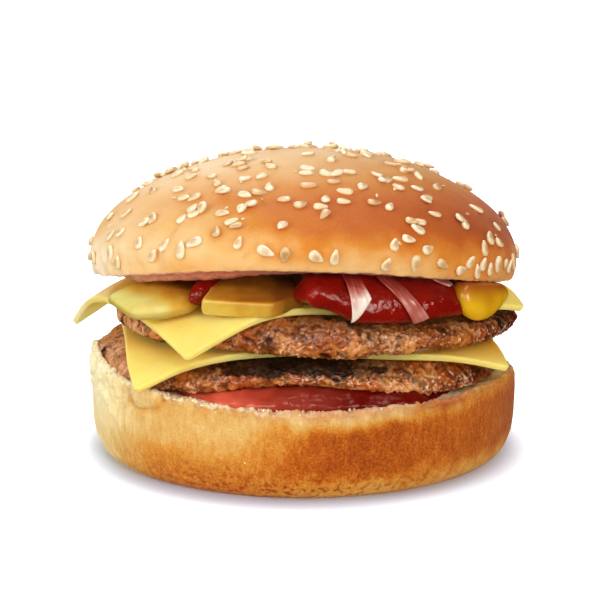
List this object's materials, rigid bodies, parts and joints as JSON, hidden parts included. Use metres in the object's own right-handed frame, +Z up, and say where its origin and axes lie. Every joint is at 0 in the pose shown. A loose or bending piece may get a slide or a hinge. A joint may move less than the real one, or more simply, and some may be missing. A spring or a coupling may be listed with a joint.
{
  "type": "double cheeseburger",
  "caption": "Seeded bun stacked with beef patties, sliced cheese, ketchup, mustard, pickle slices and onion strips; stands on its flat base.",
  "frame": {"origin": "centre of the flat underside of the bun's lower half", "axes": "+Z up through the stack, -Y towards the front, where the sauces and pickles show, +X to the right seen from the front"},
  "size_m": [0.1093, 0.1111, 0.0713],
  "materials": {
    "bun_crust": "baked golden-brown crust with a soft sheen, paler towards the cut",
    "sesame": "hulled sesame seed, satin",
    "beef": "grilled mince, craggy, glistening with juice",
    "cheese": "smooth processed cheese, satin",
    "ketchup": "wet and glossy",
    "mustard": "thick and glossy",
    "pickle": "wet, translucent gherkin",
    "onion": "wet, translucent, stained by the sauce"
  },
  "bodies": {
    "root": {"bun_bottom": "bun_crust", "ketchup_lower": "ketchup", "patty_lower": "beef", "cheese_lower": "cheese", "patty_upper": "beef", "cheese_upper": "cheese", "ketchup_upper": "ketchup", "mustard": "mustard", "pickle_left": "pickle", "pickle_right": "pickle", "onion_strip_1": "onion", "onion_strip_2": "onion", "onion_strip_3": "onion", "bun_top": "bun_crust"}
  },
  "joints": []
}
